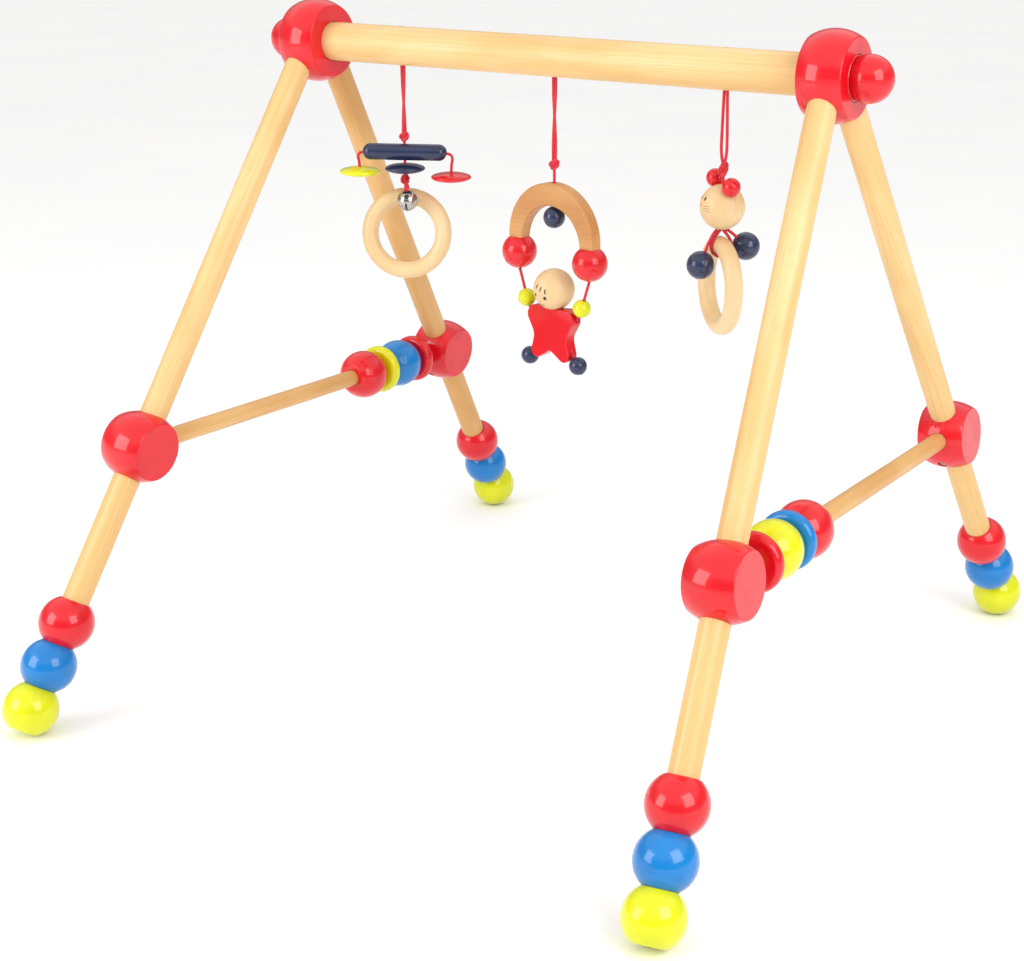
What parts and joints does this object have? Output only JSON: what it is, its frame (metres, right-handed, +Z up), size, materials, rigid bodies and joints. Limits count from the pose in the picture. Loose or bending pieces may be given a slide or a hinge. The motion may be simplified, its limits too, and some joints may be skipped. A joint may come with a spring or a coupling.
{
  "type": "wooden baby play gym",
  "caption": "Free-standing wooden baby gym: splayed leg frames carry a round beam with hanging grasping toys, and loose beads slide on the crossbars.",
  "frame": {"origin": "on the floor, under the middle of the beam", "axes": "+X along the beam to the right hub, -Y to the front, +Z up"},
  "size_m": [0.553, 0.63, 0.503],
  "materials": {
    "pine": "satin lacquer",
    "beech": "satin lacquer",
    "maple": "satin lacquer",
    "red_lacquer": "gloss",
    "blue_lacquer": "gloss",
    "yellow_lacquer": "gloss",
    "navy_lacquer": "gloss",
    "cord": "braided",
    "nickel": "polished",
    "steel": "satin"
  },
  "bodies": {
    "frame": {"beam": "pine", "cord_pegs": "beech", "left_hub": "red_lacquer", "right_hub": "red_lacquer", "joint_screws": "steel", "foot_dowels": "beech", "red_foot_beads": "red_lacquer", "blue_foot_beads": "blue_lacquer", "yellow_foot_beads": "yellow_lacquer", "left_crossbar": "pine", "right_crossbar": "pine", "front_left_leg": "pine", "front_left_joint_ball": "red_lacquer", "rear_left_leg": "pine", "rear_left_joint_ball": "red_lacquer", "front_right_leg": "pine", "front_right_joint_ball": "red_lacquer", "rear_right_leg": "pine", "rear_right_joint_ball": "red_lacquer"},
    "left_knob": {"left_end_knob": "red_lacquer"},
    "right_knob": {"right_end_knob": "red_lacquer"},
    "spinner_line": {"spinner_cord": "cord"},
    "spinner": {"spinner_rod": "navy_lacquer", "spinner_end_cords": "cord", "spinner_middle_cord": "cord"},
    "left_disc": {"yellow_disc": "yellow_lacquer"},
    "right_disc": {"red_disc": "red_lacquer"},
    "middle_disc": {"navy_disc": "navy_lacquer"},
    "bell": {"bell_shell": "nickel", "bell_ball": "nickel"},
    "spinner_ring": {"spinner_ring": "maple", "spinner_ring_cord": "cord"},
    "swing_line": {"swing_cord": "cord"},
    "arch": {"arch": "beech", "arch_cord": "cord", "arch_balls": "red_lacquer"},
    "arch_bead": {"arch_navy_bead": "navy_lacquer"},
    "figure": {"figure_cords": "cord", "hand_beads": "yellow_lacquer", "figure_head": "maple", "figure_body": "red_lacquer", "figure_foot_beads": "navy_lacquer"},
    "mouse_line": {"mouse_cord": "cord"},
    "mouse": {"mouse_head_cord": "cord", "mouse_head": "maple", "mouse_ears": "red_lacquer", "mouse_hand_cords": "cord"},
    "mouse_front_hand": {"mouse_front_hand": "navy_lacquer"},
    "mouse_back_hand": {"mouse_back_hand": "navy_lacquer"},
    "mouse_ring": {"mouse_ring": "maple", "mouse_ring_cord": "cord"},
    "left_bar_blue_ball": {"left_bar_blue_ball": "blue_lacquer"},
    "left_bar_red_ball": {"left_bar_red_ball": "red_lacquer"},
    "left_bar_red_ring": {"left_bar_red_ring": "red_lacquer"},
    "left_bar_yellow_ring": {"left_bar_yellow_ring": "yellow_lacquer"},
    "right_bar_blue_ring": {"right_bar_blue_ring": "blue_lacquer"},
    "right_bar_red_ball": {"right_bar_red_ball": "red_lacquer"},
    "right_bar_red_ring": {"right_bar_red_ring": "red_lacquer"},
    "right_bar_yellow_ball": {"right_bar_yellow_ball": "yellow_lacquer"}
  },
  "joints": [
    {"name": "left_knob_turn", "type": "hinge", "parent": "frame", "child": "left_knob", "pos_m": [-0.24, 0, 0.47204], "axis": [-1, 0, 0], "continuous": true},
    {"name": "right_knob_turn", "type": "hinge", "parent": "frame", "child": "right_knob", "pos_m": [0.24, 0, 0.47204], "axis": [1, 0, 0], "continuous": true},
    {"name": "spinner_swing", "type": "hinge", "parent": "frame", "child": "spinner_line", "pos_m": [-0.134, 0, 0.4577], "axis": [1, 0, 0], "range_deg": [-35, 35]},
    {"name": "swing_swing", "type": "hinge", "parent": "frame", "child": "swing_line", "pos_m": [0, 0, 0.4577], "axis": [1, 0, 0], "range_deg": [-35, 35]},
    {"name": "mouse_swing", "type": "hinge", "parent": "frame", "child": "mouse_line", "pos_m": [0.1364, 0, 0.4577], "axis": [1, 0, 0], "range_deg": [-35, 35]},
    {"name": "spinner_twist", "type": "hinge", "parent": "spinner_line", "child": "spinner", "pos_m": [-0.134, 0, 0.4075], "axis": [0, 0, 1], "range_deg": [-180, 180]},
    {"name": "arch_twist", "type": "hinge", "parent": "swing_line", "child": "arch", "pos_m": [0, 0, 0.3952], "axis": [0, 0, 1], "range_deg": [-180, 180]},
    {"name": "mouse_twist", "type": "hinge", "parent": "mouse_line", "child": "mouse", "pos_m": [0.1364, 0, 0.402], "axis": [0, 0, 1], "range_deg": [-180, 180]},
    {"name": "left_disc_spin", "type": "hinge", "parent": "spinner", "child": "left_disc", "pos_m": [-0.16492, -0.01575, 0.3778], "axis": [0, 0, 1], "continuous": true},
    {"name": "right_disc_spin", "type": "hinge", "parent": "spinner", "child": "right_disc", "pos_m": [-0.10264, 0.01598, 0.3748], "axis": [0, 0, 1], "continuous": true},
    {"name": "middle_disc_spin", "type": "hinge", "parent": "spinner", "child": "middle_disc", "pos_m": [-0.134, 0, 0.3808], "axis": [0, 0, 1], "continuous": true},
    {"name": "bell_swing", "type": "hinge", "parent": "spinner", "child": "bell", "pos_m": [-0.12643, -0.00781, 0.3654], "axis": [0.454, -0.891, 0], "range_deg": [-12, 12]},
    {"name": "spinner_ring_swing", "type": "hinge", "parent": "spinner", "child": "spinner_ring", "pos_m": [-0.13468, 0.00134, 0.371], "axis": [0.454, -0.891, 0], "range_deg": [-20, 20]},
    {"name": "arch_bead_spin", "type": "hinge", "parent": "arch", "child": "arch_bead", "pos_m": [0, 0, 0.3573], "axis": [0, 0, 1], "continuous": true},
    {"name": "figure_swing", "type": "hinge", "parent": "arch", "child": "figure", "pos_m": [0, 0, 0.3146], "axis": [0.9848, -0.1736, 0], "range_deg": [-25, 25]},
    {"name": "mouse_ring_swing", "type": "hinge", "parent": "mouse", "child": "mouse_ring", "pos_m": [0.1364, 0, 0.3625], "axis": [-0.6198, -0.7848, 0], "range_deg": [-15, 15]},
    {"name": "mouse_front_hand_spin", "type": "hinge", "parent": "mouse", "child": "mouse_front_hand", "pos_m": [0.12698, -0.01193, 0.339], "axis": [-0.1731, -0.2191, -0.9602], "continuous": true},
    {"name": "mouse_back_hand_spin", "type": "hinge", "parent": "mouse", "child": "mouse_back_hand", "pos_m": [0.14805, 0.01475, 0.3502], "axis": [0.4196, 0.5313, -0.7359], "continuous": true},
    {"name": "right_bar_red_ring_slide", "type": "slide", "parent": "frame", "child": "right_bar_red_ring", "axis": [0.0015, 0.9999, -0.0159], "range_m": [-0.0101, 0.0558]},
    {"name": "right_bar_yellow_ball_slide", "type": "slide", "parent": "right_bar_red_ring", "child": "right_bar_yellow_ball", "axis": [0.0015, 0.9999, -0.0159], "range_m": [-0.0046, 0.0558]},
    {"name": "right_bar_blue_ring_slide", "type": "slide", "parent": "right_bar_yellow_ball", "child": "right_bar_blue_ring", "axis": [0.0015, 0.9999, -0.0159], "range_m": [-0.0002, 0.0558]},
    {"name": "right_bar_red_ball_slide", "type": "slide", "parent": "right_bar_blue_ring", "child": "right_bar_red_ball", "axis": [0.0015, 0.9999, -0.0159], "range_m": [-0.0025, 0.0558]},
    {"name": "left_bar_red_ring_slide", "type": "slide", "parent": "frame", "child": "left_bar_red_ring", "axis": [0.0022, -0.9997, 0.024], "range_m": [-0.01277, 0.0553]},
    {"name": "left_bar_blue_ball_slide", "type": "slide", "parent": "left_bar_red_ring", "child": "left_bar_blue_ball", "axis": [0.0022, -0.9997, 0.024], "range_m": [-0.0003, 0.0553]},
    {"name": "left_bar_yellow_ring_slide", "type": "slide", "parent": "left_bar_blue_ball", "child": "left_bar_yellow_ring", "axis": [0.0022, -0.9997, 0.024], "range_m": [-0.0047, 0.0553]},
    {"name": "left_bar_red_ball_slide", "type": "slide", "parent": "left_bar_yellow_ring", "child": "left_bar_red_ball", "axis": [0.0022, -0.9997, 0.024], "range_m": [-0.0009, 0.0553]}
  ]
}
